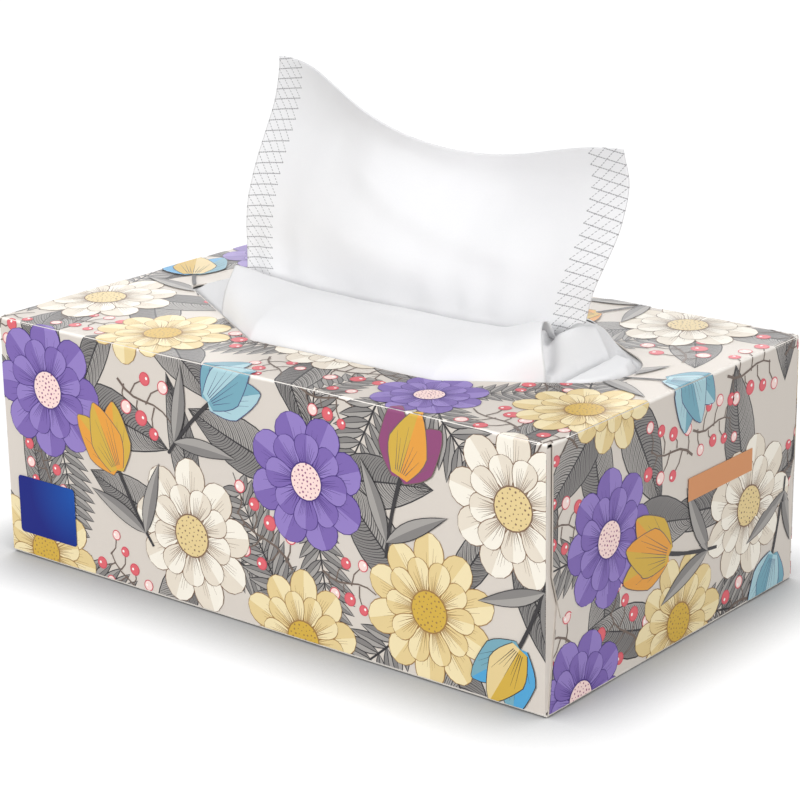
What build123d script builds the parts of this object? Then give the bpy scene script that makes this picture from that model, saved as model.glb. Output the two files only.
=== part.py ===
from build123d import *
from math import asin, atan2, cos, pi, sin, sqrt
import os

# Flat facial-tissue box: a folded and glued paperboard carton, the interfolded stack inside it,
# the next sheet swelling up through the mouth, and one sheet pulled half way out.
# Frame: millimetres, origin at the middle of the underside, +Z up, +X along the box, -Y its long front.

# Carton
box_length = 220.0
box_width = 134.0
box_height = 81.0
board = 0.5  # paperboard thickness
fold_inside = 0.4  # inside radius of every crease

# Glued end flaps, from the outside in: top flap, bottom flap, two dust flaps
flap_inset = 2.0  # top flap is this much narrower than the box, on each side
top_flap_drop = 52.5
top_flap_cut_in = 4.0  # slanted lower corners
top_flap_cut_up = 13.0
bottom_flap_rise = 44.0
bottom_flap_taper = 5.0
dust_flap_depth = 42.0
dust_flap_cut = 12.0
dust_flap_gap = 1.0  # above and below, so that it clears the panels
seam_flap_width = 15.0  # glue tab that closes the sleeve, inside the rear panel

# Mouth in the top panel: a long hexagon with rounded corners, blunt at its right end
mouth_half_width = 39.0
mouth_left_flat = -25.0  # ends of its straight front and rear edges
mouth_right_flat = 48.0
mouth_left_point = -89.5  # end corners of the hexagon before they are rounded
mouth_right_point = 108.5
mouth_left_radius = 5.0
mouth_right_radius = 20.0
mouth_corner_radius = 8.0

# Tissues
tissue = 0.4  # one soft four-ply sheet
stack_gap = 1.5  # between the stack and the carton, all round
head_space = 7.0  # between the stack and the top panel
stack_edge_radius = 4.0
mouth_clearance = 1.5  # between the crowned stack and the mouth's edge
sheet_gap = 0.3  # between one sheet and what it lies on
crown_edge_drop = 1.0  # the crown leaves the mouth this far below the top face
nip_y = -2.0  # line of the fold that the pulled sheet comes out of
nip_depth = 0.4  # depth of that fold at mid-length, as a share of the rear roll's rise
rear_share = 0.85  # rise of the rear roll, as a share of the front one's
crest_share = 0.76  # place of a roll's crest on the way from the mouth's edge to the fold
roll_facets = 8  # across each roll

# Swell of the stack in the mouth, above the crown's edge
roll_left = -54.0  # ends of the sheet that lies over the crown
roll_right = 73.0
roll_rise = 10.3
roll_left_rise = 12.0
roll_right_rise = 13.0
gusset_step = 5.0  # the crown steps down beyond the roll's ends
gusset_left_rise = 7.0
gusset_right_rise = 10.0
tip_rise = 0.6
tip_half_width = 2.0  # at least this
tip_gap = 2.0  # from the crown's end to the mouth's

# Pulled sheet
sheet_width = 134.0
sheet_shift = 8.0  # its middle, along the box
foot_lift = 0.9  # of its lower edge above the sheets in the fold, which narrows downwards
sheet_left_height = 78.0  # upper corners, above the top panel
sheet_right_height = 65.0
sheet_sag = 13.0  # of the upper edge between them
sheet_sag_bias = 1.2  # over 1, the lowest point lies towards the right
sheet_lean = 17.0  # how far it leans back
sheet_curl = 9.0  # how far its upper edge curls forward again
sheet_wave = 4.0  # ripple across it
sheet_rows = 8  # points up each line of it
sheet_columns = 13  # lines across it

fold_radius = fold_inside + board
inside_length = box_length - 6 * board
stack_length = inside_length - 2 * stack_gap
stack_width = box_width - 4 * board - 2 * stack_gap
stack_top = box_height - board - head_space
crown_edge = box_height - crown_edge_drop
left_half_angle = atan2(mouth_half_width, mouth_left_flat - mouth_left_point)
right_half_angle = atan2(mouth_half_width, mouth_right_point - mouth_right_flat)
mouth_left_end = mouth_left_point + mouth_left_radius * (1 / sin(left_half_angle) - 1)
mouth_right_end = mouth_right_point - mouth_right_radius * (1 / sin(right_half_angle) - 1)

# Places along the box, each with the crown's rise there
crown_stations = (
    (mouth_left_end + tip_gap, tip_rise),
    (roll_left - gusset_step, gusset_left_rise),
    (roll_left, roll_left_rise),
    (mouth_left_flat, roll_rise),
    (mouth_right_flat, roll_rise),
    (roll_right, roll_right_rise),
    (roll_right + gusset_step, gusset_right_rise),
    (mouth_right_end - tip_gap, tip_rise),
)
roll_stations = [(x, rise) for x, rise in crown_stations if roll_left <= x <= roll_right]


def rounded_ring(width, height, wall, radius):
    """Section of a folded sleeve."""
    outer = RectangleRounded(width, height, radius)
    return outer - RectangleRounded(width - 2 * wall, height - 2 * wall, radius - wall)


def sleeve():
    """Front, top, rear and bottom panels, folded round and closed by the glue tab."""
    length = box_length - 4 * board
    section = Plane.YZ * Pos(0, box_height / 2) * rounded_ring(box_width, box_height, board, fold_radius)
    walls = extrude(section, length / 2, both=True)
    tab_y = box_width / 2 - 1.5 * board
    tab_z = fold_radius + seam_flap_width / 2
    tab = Pos(0, tab_y, tab_z) * Box(inside_length, board, seam_flap_width)
    return walls + tab


def channel(length, depth):
    """U section of a panel with a flap folded over at each end, open towards -Y of its plane."""
    ring = Pos(0, -depth) * rounded_ring(length, 2 * depth, board, fold_radius)
    return ring & Pos(0, -depth / 2) * Rectangle(length, depth)


def top_strip():
    """Top panel's middle and the two outer end flaps."""
    half = box_width / 2 - flap_inset
    low = box_height - top_flap_drop
    outline = Polygon(
        (-half, box_height),
        (-half, low + top_flap_cut_up),
        (-half + top_flap_cut_in, low),
        (half - top_flap_cut_in, low),
        (half, low + top_flap_cut_up),
        (half, box_height),
        align=None,
    )
    fold = extrude(Plane.XZ * Pos(0, box_height) * channel(box_length, top_flap_drop), half, both=True)
    return fold & extrude(Plane.YZ * outline, box_length, both=True)


def bottom_strip():
    """Bottom panel's middle and the two flaps that lie under the top ones."""
    half = box_width / 2 - flap_inset / 2
    outline = Polygon(
        (-half, 0),
        (-half + bottom_flap_taper, bottom_flap_rise),
        (half - bottom_flap_taper, bottom_flap_rise),
        (half, 0),
        align=None,
    )
    section = mirror(channel(box_length - 2 * board, bottom_flap_rise), about=Plane.XZ)
    fold = extrude(Plane.XZ * section, half, both=True)
    return fold & extrude(Plane.YZ * outline, box_length, both=True)


def dust_strip():
    """Front panel's middle and its two dust flaps; the rear one is its mirror image."""
    low = board + dust_flap_gap
    high = box_height - board - dust_flap_gap
    face = -box_width / 2
    edge = face + dust_flap_depth
    outline = Polygon(
        (face, low),
        (edge - dust_flap_cut, low),
        (edge, low + dust_flap_cut),
        (edge, high - dust_flap_cut),
        (edge - dust_flap_cut, high),
        (face, high),
        align=None,
    )
    section = mirror(channel(box_length - 4 * board, dust_flap_depth), about=Plane.XZ)
    fold = extrude(Pos(0, face, 0) * section, box_height)
    return fold & extrude(Plane.YZ * outline, box_length, both=True)


def mouth_outline():
    """Die-cut opening: long hexagon, each corner rounded."""
    outline = Polygon(
        (mouth_left_point, 0),
        (mouth_left_flat, -mouth_half_width),
        (mouth_right_flat, -mouth_half_width),
        (mouth_right_point, 0),
        (mouth_right_flat, mouth_half_width),
        (mouth_left_flat, mouth_half_width),
        align=None,
    )
    outline = fillet(outline.vertices().sort_by(Axis.X)[0], mouth_left_radius)
    outline = fillet(outline.vertices().sort_by(Axis.X)[-1], mouth_right_radius)
    flats = [v for v in outline.vertices() if abs(abs(v.Y) - mouth_half_width) < board]
    return fillet(flats, mouth_corner_radius)


def carton():
    front = dust_strip()
    shell = sleeve() + front + mirror(front, about=Plane.XZ) + bottom_strip() + top_strip()
    cut = extrude(Pos(0, 0, box_height - 2 * board) * mouth_outline(), 3 * board)
    return shell - cut


def mouth_half_at(x):
    """Half the mouth's width at a place along the box."""
    if mouth_left_flat <= x <= mouth_right_flat:
        return mouth_half_width
    if x < mouth_left_flat:
        from_point, radius, angle = x - mouth_left_point, mouth_left_radius, left_half_angle
    else:
        from_point, radius, angle = mouth_right_point - x, mouth_right_radius, right_half_angle
    past_centre = radius / sin(angle) - from_point
    if past_centre > radius * sin(angle):
        return sqrt(radius**2 - past_centre**2)
    return from_point * sin(angle) / cos(angle)


def crown_half_at(x):
    """Half the crown's width at a place along the box."""
    return max(mouth_half_at(x) - mouth_clearance, tip_half_width)


def fold_height(x, rise):
    """Height above the crown's edge of the fold between the rolls, shallower where the mouth narrows."""
    return rear_share * rise * (1 - nip_depth * crown_half_at(x) / mouth_half_width)


def roll_points(x, edge_y, base, rise, fold):
    """One roll: it leaves the mouth's edge upright, crests near the fold and dips into it."""
    end = pi - asin(fold / rise)
    points = []
    for step in range(roll_facets + 1):
        turn = end * step / roll_facets
        if turn < pi / 2:
            share = crest_share * (1 - cos(turn))
        else:
            share = crest_share + (1 - crest_share) * cos(turn) / cos(end)
        points.append((x, edge_y + share * (nip_y - edge_y), base + rise * sin(turn)))
    return points


def crown_points(x, rise, out):
    """Front roll, fold and rear roll of the swelling sheets, a distance out from the crown."""
    half = crown_half_at(x) + out
    base = crown_edge + out
    fold = fold_height(x, rise)
    front = roll_points(x, -half, base, rise, fold)
    rear = roll_points(x, half, base, rear_share * rise, fold)
    return front[:-1] + rear[::-1]


def crown_section(x, rise):
    half = crown_half_at(x)
    low = stack_top - stack_edge_radius
    points = crown_points(x, rise, 0)
    return make_face(Polyline(*points, (x, half, low), (x, -half, low), close=True))


def sheet_section(x, rise):
    lower = crown_points(x, rise, sheet_gap)
    upper = crown_points(x, rise, sheet_gap + tissue)
    return make_face(Polyline(*lower, *upper[::-1], close=True))


def tissue_stack():
    """Interfolded sheets as one block, with its rounded folds and the crown that fills the mouth."""
    height = stack_top - board
    block = Pos(0, 0, board + height / 2) * Box(stack_length, stack_width, height)
    long_edges = block.edges().filter_by(Axis.X)
    block = fillet(long_edges.group_by(Axis.Z)[-1], stack_edge_radius)
    crown = loft([crown_section(x, rise) for x, rise in crown_stations], ruled=True)
    return block + crown


def next_tissue():
    """Sheet that lies over the crown and is drawn up with the pulled one."""
    return loft([sheet_section(x, rise) for x, rise in roll_stations], ruled=True)


def foot_height_at(x):
    """Height of the fold that the pulled sheet stands in, at a place along the roll."""
    x = min(max(x, roll_left), roll_right)
    for (x0, rise0), (x1, rise1) in zip(roll_stations, roll_stations[1:]):
        if x <= x1:
            share = (x - x0) / (x1 - x0)
            fold = (1 - share) * fold_height(x0, rise0) + share * fold_height(x1, rise1)
            return crown_edge + fold + sheet_gap + tissue + foot_lift
    return None


def top_edge_at(u):
    """Height of the pulled sheet's upper edge, from its left end to its right."""
    left = box_height + sheet_left_height
    drop = sheet_left_height - sheet_right_height
    sag = sheet_sag * (1 - cos(2 * pi * u**sheet_sag_bias)) / 2
    return left - drop * (1 - cos(pi * u)) / 2 - sag


def popup_points(u, back):
    """Upright line at a share of the pulled sheet's width, a distance back from its middle."""
    x = sheet_shift + (u - 0.5) * sheet_width
    foot = foot_height_at(x)
    points = []
    for row in range(sheet_rows):
        v = row / (sheet_rows - 1)
        lean = sheet_lean * (1 - cos(pi * v)) / 2
        curl = sheet_curl * v**3 * (1 - cos(2 * pi * u)) / 2
        wave = sheet_wave * v * cos(3 * pi * u)
        points.append((x, nip_y + lean - curl + wave + back, foot + v * (top_edge_at(u) - foot)))
    return points


def popup_section(u):
    front = popup_points(u, -tissue / 2)
    rear = popup_points(u, tissue / 2)
    return make_face(Polyline(*front, *rear[::-1], close=True))


def popup_tissue():
    """Sheet pulled half way out: it stands in the fold, leans back and curls at its upper edge."""
    shares = [column / (sheet_columns - 1) for column in range(sheet_columns)]
    return loft([popup_section(u) for u in shares], ruled=True)


os.makedirs("parts", exist_ok=True)
for name, make in (
    ("carton", carton),
    ("tissue_stack", tissue_stack),
    ("next_tissue", next_tissue),
    ("popup_tissue", popup_tissue),
):
    export_step(make(), f"parts/{name}.step")
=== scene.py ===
import bmesh
import bpy
import math
import random
from mathutils import Matrix, Vector, noise


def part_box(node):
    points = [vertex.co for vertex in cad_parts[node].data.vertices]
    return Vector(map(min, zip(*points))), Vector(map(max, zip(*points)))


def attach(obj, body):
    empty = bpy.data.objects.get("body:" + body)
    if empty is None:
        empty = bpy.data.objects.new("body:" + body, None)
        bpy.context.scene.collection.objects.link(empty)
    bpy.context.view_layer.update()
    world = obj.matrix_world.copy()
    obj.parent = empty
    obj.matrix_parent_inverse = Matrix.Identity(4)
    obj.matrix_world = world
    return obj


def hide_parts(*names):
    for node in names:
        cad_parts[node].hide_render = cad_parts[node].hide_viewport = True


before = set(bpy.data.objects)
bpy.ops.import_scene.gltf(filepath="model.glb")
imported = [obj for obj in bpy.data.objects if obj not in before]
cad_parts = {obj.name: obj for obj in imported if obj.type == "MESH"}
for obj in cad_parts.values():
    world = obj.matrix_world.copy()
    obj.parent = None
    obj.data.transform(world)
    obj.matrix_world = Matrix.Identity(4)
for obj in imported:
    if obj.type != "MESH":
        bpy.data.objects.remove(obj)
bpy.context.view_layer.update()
mm = 0.001
boxLow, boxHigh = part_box("carton")
boxLength = boxHigh.x - boxLow.x
boxWidth = boxHigh.y - boxLow.y
boxHeight = boxHigh.z
print("frame loaded: carton", [round(s, 4) for s in (boxLength, boxWidth, boxHeight)])


# colours and node helpers
def linear(rgb):
    return tuple(((c / 255 + 0.055) / 1.055) ** 2.4 if c > 10 else c / 255 / 12.92 for c in rgb) + (1.0,)


def between(ends, share):
    return ends[0] + (ends[1] - ends[0]) * share


def newGroup(name, values, outputs):
    # each group reads a place on the piece, and maybe values, and puts out values
    group = bpy.data.node_groups.new(name, "ShaderNodeTree")
    group.interface.new_socket("Vector", in_out="INPUT", socket_type="NodeSocketVector")
    for label in values:
        group.interface.new_socket(label, in_out="INPUT", socket_type="NodeSocketFloat")
    for label in outputs:
        group.interface.new_socket(label, in_out="OUTPUT", socket_type="NodeSocketFloat")
    return group, group.nodes.new("NodeGroupInput"), group.nodes.new("NodeGroupOutput")


def mathNode(tree, operation, a, b=None, c=None):
    node = tree.nodes.new("ShaderNodeMath")
    node.operation = operation
    for index, value in enumerate((a, b, c)):
        if value is None:
            continue
        if isinstance(value, (int, float)):
            node.inputs[index].default_value = value
        else:
            tree.links.new(value, node.inputs[index])
    return node.outputs[0]


def noiseTexture(tree, vector, scale, detail=3.0):
    node = tree.nodes.new("ShaderNodeTexNoise")
    node.inputs["Scale"].default_value = scale
    node.inputs["Detail"].default_value = detail
    tree.links.new(vector, node.inputs["Vector"])
    return node.outputs["Fac"]


mixSockets = {"a": 6, "b": 7, "result": 2}  # the colour sockets among a Mix node's


def mixColour(tree, factor, a, b):
    node = tree.nodes.new("ShaderNodeMix")
    node.data_type = "RGBA"
    tree.links.new(factor, node.inputs["Factor"])
    for key, value in (("a", a), ("b", b)):
        socket = node.inputs[mixSockets[key]]
        if isinstance(value, tuple):
            socket.default_value = value
        else:
            tree.links.new(value, socket)
    return node.outputs[mixSockets["result"]]


def putOut(group, outputs, **values):
    for label, value in values.items():
        group.links.new(value, outputs.inputs[label])


# board fibre: faint mottling, and the uneven gloss of printed board
fibreLook = {"fine": 2600.0, "fineShare": 0.4, "cloud": 38.0, "cloudShare": 0.6, "gloss": 0.34, "glossSpan": 0.16}


def makeFibreGroup():
    group, inputs, outputs = newGroup("boardFibre", (), ("Tone", "Gloss", "Height"))
    fine = noiseTexture(group, inputs.outputs["Vector"], fibreLook["fine"], 2.0)
    cloud = noiseTexture(group, inputs.outputs["Vector"], fibreLook["cloud"], 4.0)
    fineTone = mathNode(group, "MULTIPLY", fine, fibreLook["fineShare"])
    tone = mathNode(group, "MULTIPLY_ADD", cloud, fibreLook["cloudShare"], fineTone)
    gloss = mathNode(group, "MULTIPLY_ADD", cloud, fibreLook["glossSpan"], fibreLook["gloss"])
    putOut(group, outputs, Tone=tone, Gloss=gloss, Height=fine)
    return group


# fold wear: 1 along the carton's creases, where two outer faces meet
wearLook = {"patches": 130.0, "patchLow": 0.4, "patchSpan": 1.2}


def makeWearGroup():
    group, inputs, outputs = newGroup("foldWear", ("Width",), ("Wear",))
    split = group.nodes.new("ShaderNodeSeparateXYZ")
    group.links.new(inputs.outputs["Vector"], split.inputs[0])
    x, y, z = (split.outputs[axis] for axis in "XYZ")
    fromEnd = mathNode(group, "SUBTRACT", boxLength / 2, mathNode(group, "ABSOLUTE", x))
    fromSide = mathNode(group, "SUBTRACT", boxWidth / 2, mathNode(group, "ABSOLUTE", y))
    fromTop = mathNode(group, "MINIMUM", z, mathNode(group, "SUBTRACT", boxHeight, z))
    nearer = mathNode(group, "MINIMUM", fromEnd, fromSide)
    farther = mathNode(group, "MAXIMUM", fromEnd, fromSide)
    second = mathNode(group, "MAXIMUM", nearer, mathNode(group, "MINIMUM", farther, fromTop))
    patches = noiseTexture(group, inputs.outputs["Vector"], wearLook["patches"])
    uneven = mathNode(group, "MULTIPLY_ADD", patches, wearLook["patchSpan"], wearLook["patchLow"])
    width = mathNode(group, "MULTIPLY", inputs.outputs["Width"], uneven)
    wear = mathNode(group, "SUBTRACT", 1.0, mathNode(group, "DIVIDE", second, width))
    wear.node.use_clamp = True
    putOut(group, outputs, Wear=wear)
    return group


# creping of tissue paper
crepeLook = {"stretch": 2.4, "ridges": 1500.0, "soft": 90.0, "share": 0.5}


def makeCrepeGroup():
    group, inputs, outputs = newGroup("crepe", (), ("Tone", "Height"))
    stretch = group.nodes.new("ShaderNodeMapping")
    stretch.inputs["Scale"].default_value = (1.0, 1.0, crepeLook["stretch"])
    group.links.new(inputs.outputs["Vector"], stretch.inputs["Vector"])
    ridges = noiseTexture(group, stretch.outputs["Vector"], crepeLook["ridges"])
    soft = noiseTexture(group, inputs.outputs["Vector"], crepeLook["soft"])
    tone = mathNode(group, "MULTIPLY", mathNode(group, "ADD", ridges, soft), crepeLook["share"])
    putOut(group, outputs, Tone=tone, Height=ridges)
    return group


fibreGroup, wearGroup, crepeGroup = makeFibreGroup(), makeWearGroup(), makeCrepeGroup()


def newMaterial(name):
    material = bpy.data.materials.new(name)
    material.use_nodes = True
    tree = material.node_tree
    shader = tree.nodes["Principled BSDF"]
    shader.inputs["Specular IOR Level"].default_value = 0.2
    coords = tree.nodes.new("ShaderNodeTexCoord")
    return material, tree, shader, coords


def placeGroup(tree, group, coords):
    node = tree.nodes.new("ShaderNodeGroup")
    node.node_tree = group
    tree.links.new(coords.outputs["Object"], node.inputs["Vector"])
    return node


def addBump(tree, shader, height, distance, strength):
    bump = tree.nodes.new("ShaderNodeBump")
    bump.inputs["Distance"].default_value = distance
    bump.inputs["Strength"].default_value = strength
    tree.links.new(height, bump.inputs["Height"])
    tree.links.new(bump.outputs["Normal"], shader.inputs["Normal"])


def meshFrom(name, bm):
    mesh = bpy.data.meshes.new(name)
    bm.to_mesh(mesh)
    bm.free()
    return mesh


def addPiece(name, bm, materials):
    mesh = meshFrom(name, bm)
    for material in materials:
        mesh.materials.append(material)
    piece = bpy.data.objects.new(name, mesh)
    bpy.context.collection.objects.link(piece)
    return piece


board = {
    "ground": (218, 210, 201), "groundDark": (210, 202, 193), "worn": (250, 246, 240),
    "wearWidth": 0.0011, "grain": 0.00002, "grainStrength": 0.25,
}


def addFibre(tree, shader, coords):
    # the board's own gloss and grain, which show through every ink
    fibre = placeGroup(tree, fibreGroup, coords)
    tree.links.new(fibre.outputs["Gloss"], shader.inputs["Roughness"])
    addBump(tree, shader, fibre.outputs["Height"], board["grain"], board["grainStrength"])
    return fibre


def makeBoardMaterial():
    material, tree, shader, coords = newMaterial("printedBoard")
    fibre = addFibre(tree, shader, coords)
    wear = placeGroup(tree, wearGroup, coords)
    wear.inputs["Width"].default_value = board["wearWidth"]
    ground = mixColour(tree, fibre.outputs["Tone"], linear(board["groundDark"]), linear(board["ground"]))
    colour = mixColour(tree, wear.outputs["Wear"], ground, linear(board["worn"]))
    tree.links.new(colour, shader.inputs["Base Color"])
    return material


# inks of the print, flat as on a press
inks = {
    "violet": (124, 102, 172), "violetPale": (146, 126, 192), "violetLine": (74, 54, 122),
    "ochre": (226, 203, 148), "ochrePale": (238, 222, 178), "ochreLine": (158, 122, 74),
    "cream": (243, 237, 224), "creamShade": (228, 218, 202), "creamLine": (128, 102, 82),
    "leaf": (132, 129, 127), "leafPale": (164, 160, 156), "leafLine": (58, 56, 58),
    "pink": (246, 218, 212), "pinkLine": (208, 84, 98), "coral": (220, 104, 112),
    "teal": (118, 166, 182), "tealPale": (170, 204, 212), "navy": (72, 72, 114),
    "blue": (84, 162, 208), "amber": (226, 158, 70), "plum": (142, 76, 118), "gold": (208, 172, 74),
    "twig": (112, 98, 90), "white": (248, 246, 242), "labelBlue": (10, 26, 118), "panelOrange": (210, 145, 99),
}
inkIndex = {name: index for index, name in enumerate(inks)}

# the label's blue pales softly towards its upper right corner; corner and reach in metres
labelGlow = {"pale": (12, 78, 164), "corner": (-0.078, -0.067, 0.026), "reach": 0.021}


def labelShade(tree, coords):
    apart = tree.nodes.new("ShaderNodeVectorMath")
    apart.operation = "DISTANCE"
    tree.links.new(coords.outputs["Object"], apart.inputs[0])
    apart.inputs[1].default_value = labelGlow["corner"]
    fall = mathNode(tree, "SUBTRACT", 1.0, mathNode(tree, "DIVIDE", apart.outputs["Value"], labelGlow["reach"]))
    fall.node.use_clamp = True
    return mixColour(tree, fall, linear(inks["labelBlue"]), linear(labelGlow["pale"]))


def makeInk(name):
    material, tree, shader, coords = newMaterial("ink_" + name)
    shader.inputs["Base Color"].default_value = linear(inks[name])
    if name == "labelBlue":
        tree.links.new(labelShade(tree, coords), shader.inputs["Base Color"])
    addFibre(tree, shader, coords)
    return material


inkMaterials = [makeInk(name) for name in inks]
print("materials made:", len(bpy.data.materials))


# motifs of the print, drawn flat in millimetres on the unfolded blank
def addGrid(bm, across, along, placeVertex, inkOf):
    made = bmesh.ops.create_grid(bm, x_segments=across, y_segments=along, size=1.0)
    faces = {face for vert in made["verts"] for face in vert.link_faces}
    for face in faces:
        middle = face.calc_center_median()
        column = int((middle.x + 1) / 2 * across)
        row = int((middle.y + 1) / 2 * along)
        face.material_index = inkIndex[inkOf(column, row)]
    for vert in made["verts"]:
        column = round((vert.co.x + 1) / 2 * across)
        row = round((vert.co.y + 1) / 2 * along)
        vert.co = placeVertex(column, row)
    return made["verts"]


blade = {"rows": 10, "spread": (-1, -1, -0.5, 0, 0.5, 1, 1), "leastHalf": 0.12, "leastInner": 0.06, "tip": 0.6}


def addBlade(bm, length, width, outline, tones, line, height,
             turn=0.0, start=0.0, bend=0.0, lineWidth=0.32):
    # one petal or leaf: an outlined blade that grows along its own Y from start
    rows, columns = blade["rows"], len(blade["spread"]) - 1

    def placeVertex(column, row):
        s = 1.0 if row == rows else min(row / (rows - 1), 1 - lineWidth / length)
        half = max(outline(s) * width / 2, blade["leastHalf"])
        inner = max(half - lineWidth, blade["leastInner"])
        x = blade["spread"][column] * (half if column in (0, columns) else inner)
        if row == rows:
            x *= blade["tip"]
        y = start + s * length
        x += bend * s * s * length
        point = Vector((x, y, height))
        return Matrix.Rotation(turn, 3, "Z") @ point

    def inkOf(column, row):
        if column in (0, columns - 1) or row == rows - 1:
            return line
        return tones[0] if column < columns / 2 else tones[1]

    return addGrid(bm, columns, rows, placeVertex, inkOf)


def addStroke(bm, points, width, ink, height, taper=0.25):
    # a drawn line that thins towards its end
    last = len(points) - 1

    def placeVertex(column, row):
        before, after = points[max(row - 1, 0)], points[min(row + 1, last)]
        along = (Vector(after) - Vector(before)).normalized()
        side = Vector((-along.y, along.x)) * width / 2 * (1 - (1 - taper) * row / last)
        point = Vector(points[row]) + (side if column else -side)
        return Vector((point.x, point.y, height))

    addGrid(bm, 1, last, placeVertex, lambda column, row: ink)


def addDisc(bm, x, y, radius, ink, height, segments=20):
    made = bmesh.ops.create_circle(bm, cap_ends=True, segments=segments, radius=radius)
    for face in made["verts"][0].link_faces:
        face.material_index = inkIndex[ink]
    for vert in made["verts"]:
        vert.co = Vector((x + vert.co.x, y + vert.co.y, height))


def turned(point, turn):
    c, s = math.cos(turn), math.sin(turn)
    return (c * point[0] - s * point[1], s * point[0] + c * point[1])


petalShape = {"widest": 0.66, "base": 0.3}


def petalOutline(s):
    widest, base = petalShape["widest"], petalShape["base"]
    if s < widest:
        return base + (1 - base) * math.sin(math.pi / 2 * s / widest)
    return math.sqrt(max(1 - ((s - widest) / (1 - widest)) ** 2, 0))


def leafOutline(s):
    return math.sin(math.pi * s ** 0.8) ** 0.9


def tulipOutline(s):
    widest = 0.45
    swell = widest + (1 - widest) * math.sin(math.pi / 2 * min(s / widest, 1))
    return swell * (1 - max(s - widest, 0) / (1 - widest)) ** 0.6


# heights within a motif, in mm: lines over petals, and each petal clear of its neighbours
lift = {"ink": 0.01, "line": 0.01, "petal": 0.02, "ring": 0.06}


veinLook = {
    "width": 0.26, "reach": (0.36, 0.8), "sideLoss": 0.5, "start": 0.06, "spread": (0.3, 0.8),
    "petal": (-0.4, -0.3, -0.2, -0.1, 0.0, 0.1, 0.2, 0.3, 0.4),
    "tulip": (-0.42, -0.28, -0.14, 0.0, 0.14, 0.28, 0.42),
}


def addVeins(bm, rng, wide, start, length, turn, line, height, kind):
    look = veinLook
    for vein in look[kind]:
        far = rng.uniform(*look["reach"]) * (1 - look["sideLoss"] * abs(vein))
        path = []
        for s in (0.0, 0.25, 0.5, 0.75, 1.0):
            path.append((vein * wide * between(look["spread"], s), start + length * (look["start"] + far * s)))
        addStroke(bm, [turned(p, turn) for p in path], look["width"], line, height)


rosette = {
    "rings": (1.0, 0.62), "snug": 0.97, "lengths": (0.9, 1.04), "rim": 1.6, "heart": 1.1,
    "seeds": 46, "seedField": 0.8, "seedSizes": (0.2, 0.42), "goldenAngle": 2.39996,
}


def drawRosette(name, tones, line, heart, dots, petals=8, length=19.0, seat=5.0):
    # a double bloom seen from above: two rings of broad petals round a stippled heart
    bm = bmesh.new()
    rng = random.Random(name)
    for ring, share in enumerate(rosette["rings"]):
        long = length * share
        wide = 2 * (seat + petalShape["widest"] * long) * math.tan(math.pi / petals) * rosette["snug"]
        for petal in range(petals):
            step = 2 if petals % 2 and petal == petals - 1 else petal % 2
            height = ring * lift["ring"] + step * lift["petal"]
            turn = 2 * math.pi * (petal + 0.5 * ring) / petals
            own = long * rng.uniform(*rosette["lengths"])
            addBlade(bm, own, wide, petalOutline, tones, line, height, turn, seat)
            addVeins(bm, rng, wide, seat, own, turn, line, height + lift["line"], "petal")
    heartLift, seeds = 2 * lift["ring"], rosette["seeds"]
    addDisc(bm, 0, 0, seat + rosette["rim"], line, heartLift)
    addDisc(bm, 0, 0, seat + rosette["heart"], heart, heartLift + lift["line"])
    for k in range(seeds):
        radius = (seat + rosette["seedField"]) * math.sqrt((k + 0.5) / seeds)
        x, y = turned((radius, 0), k * rosette["goldenAngle"])
        addDisc(bm, x, y, rng.uniform(*rosette["seedSizes"]), dots, heartLift + 2 * lift["line"], 6)
    return meshFrom("motif_" + name, bm)


tulip = {
    "length": 24.0, "width": 15.5, "seat": -1.0, "open": 0.42,
    "stalk": 30.0, "stalkSway": (0.5, 4.0), "stalkWidth": 1.5, "stalkTaper": 0.7,
    "leafLength": 27.0, "leafWidth": 6.0, "leafTurn": 0.62, "leafBend": 0.1, "leafSeat": (2.5, -24.0, 0.0),
}


def drawTulip(name, outer, inner, line):
    # a cup of three pointed petals on a stalk with two narrow leaves
    bm = bmesh.new()
    rng = random.Random(name)
    stalk = [(between(tulip["stalkSway"], (k / 6) ** 2), 1 - tulip["stalk"] * k / 6) for k in range(7)]
    addStroke(bm, stalk, tulip["stalkWidth"], "leafLine", 0.0, tulip["stalkTaper"])
    for side, height in ((-1, 0.02), (1, 0.04)):
        verts = addBlade(
            bm, tulip["leafLength"], tulip["leafWidth"], leafOutline, ("leafPale", "leaf"), "leafLine", height,
            -side * tulip["leafTurn"], 0.0, side * tulip["leafBend"])
        bmesh.ops.translate(bm, verts=verts, vec=tulip["leafSeat"])
    length, width, seat = tulip["length"], tulip["width"], tulip["seat"]
    for turn, tones, height in ((tulip["open"], outer, 0.05), (-tulip["open"], outer, 0.07), (0.0, inner, 0.09)):
        addBlade(bm, length, width, tulipOutline, tones, line, height, turn, seat)
        addVeins(bm, rng, width, seat, length, turn, line, height + lift["line"], "tulip")
    return meshFrom("motif_" + name, bm)


berry = {
    "twig": 0.9, "twigTaper": 0.5, "sway": 1.5, "foot": -12, "pace": 4,
    "first": -9, "step": 3.4, "turn": 0.9, "stem": 0.55, "stemTaper": 0.7, "stemOut": (5.5, 8.5),
    "stemUp": (2.5, 4.0), "sizes": (1.9, 2.5), "line": 0.36, "glint": 0.5, "glintShift": 0.6,
}


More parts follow.
